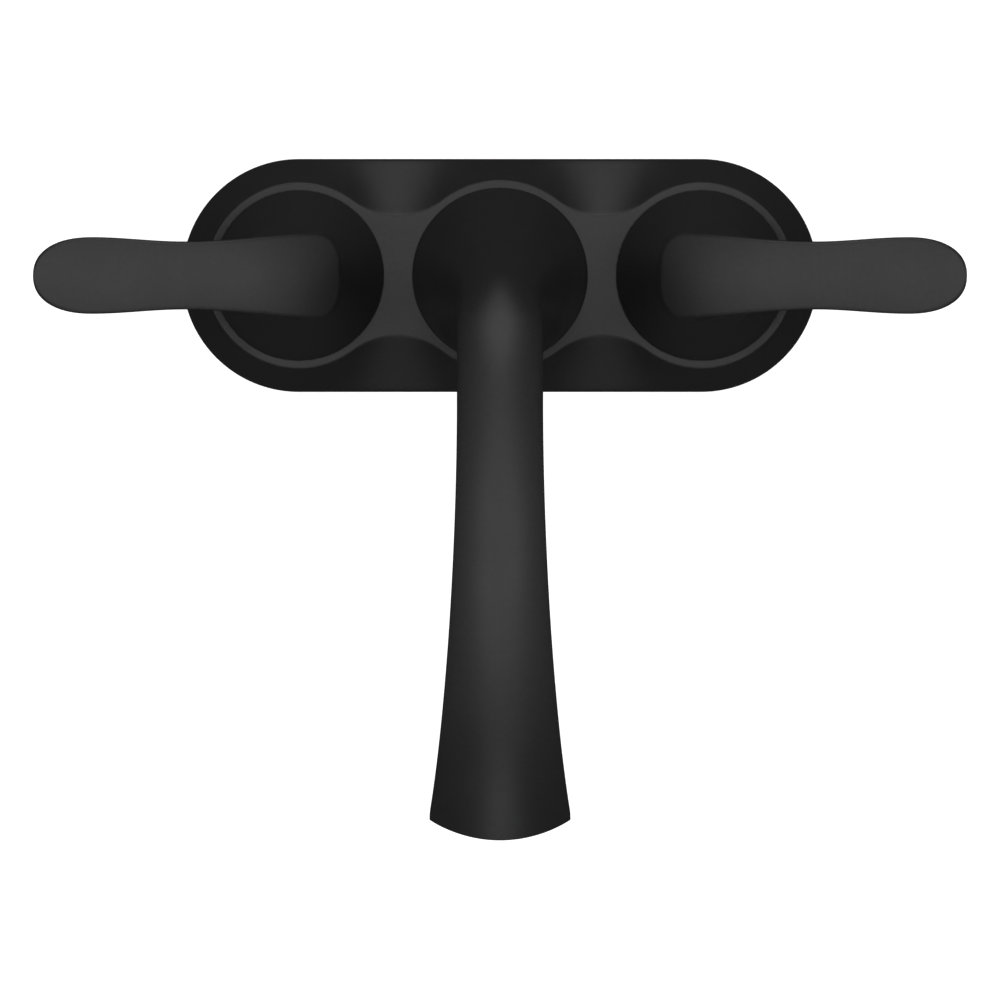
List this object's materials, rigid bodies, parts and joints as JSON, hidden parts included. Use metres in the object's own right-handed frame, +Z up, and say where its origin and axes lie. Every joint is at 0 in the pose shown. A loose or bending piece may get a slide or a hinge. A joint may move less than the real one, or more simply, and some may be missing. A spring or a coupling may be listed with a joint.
{
  "type": "basin faucet",
  "caption": "Deck-mounted two-handle centreset basin faucet with an arched, flared spout and lever handles on conical bells, in matte black.",
  "frame": {"origin": "on the deck, at the underside of the gasket, midway between the two handle axes", "axes": "+Z up from the deck, +X to the user's right along the line of the handles, and the spout points along -Y towards the user"},
  "size_m": [0.2356, 0.1721, 0.159],
  "materials": {
    "matte_black": "matte powder coat with a very fine grain",
    "brass": "cast and turned, dull",
    "copper": "drawn copper tube, satin",
    "steel": "zinc-plated, satin",
    "rubber": "matte",
    "ceramic": "lapped smooth",
    "white_nylon": "moulded, satin",
    "tube_plastic": "smooth extruded tube",
    "dark_plastic": "moulded, satin"
  },
  "bodies": {
    "faucet": {"base_plate": "matte_black", "deck_gasket": "rubber", "mixing_block": "brass", "spout_body": "matte_black", "spout_waterway": "tube_plastic", "spout_seals": "rubber", "spout_screws": "steel", "outlet_adapter": "brass", "aerator_gasket": "rubber", "aerator_housing": "matte_black", "aerator_insert": "white_nylon", "hot_valve_body": "brass", "cold_valve_body": "brass", "hot_cross_tube": "copper", "cold_cross_tube": "copper", "hot_lock_ring": "brass", "cold_lock_ring": "brass", "hot_bonnet_nut": "brass", "cold_bonnet_nut": "brass", "hot_cartridge_shell": "brass", "cold_cartridge_shell": "brass", "hot_cartridge_seal": "rubber", "cold_cartridge_seal": "rubber", "hot_seat_seal": "rubber", "cold_seat_seal": "rubber", "hot_fixed_disc": "ceramic", "cold_fixed_disc": "ceramic", "hot_deck_washer": "steel", "cold_deck_washer": "steel", "hot_mounting_nut": "dark_plastic", "cold_mounting_nut": "dark_plastic"},
    "hot_handle_unit": {"hot_handle": "matte_black", "hot_handle_insert": "white_nylon", "hot_set_screw": "steel", "hot_glide_ring": "white_nylon", "hot_stem": "brass", "hot_stem_seal": "rubber", "hot_moving_disc": "ceramic"},
    "cold_handle_unit": {"cold_handle": "matte_black", "cold_handle_insert": "white_nylon", "cold_set_screw": "steel", "cold_glide_ring": "white_nylon", "cold_stem": "brass", "cold_stem_seal": "rubber", "cold_moving_disc": "ceramic"}
  },
  "joints": [
    {"name": "hot_turn", "type": "hinge", "parent": "faucet", "child": "hot_handle_unit", "pos_m": [-0.0508, 0, 0.03], "axis": [0, 0, 1], "range_deg": [0, 90]},
    {"name": "cold_turn", "type": "hinge", "parent": "faucet", "child": "cold_handle_unit", "pos_m": [0.0508, 0, 0.03], "axis": [0, 0, 1], "range_deg": [-90, 0]}
  ]
}
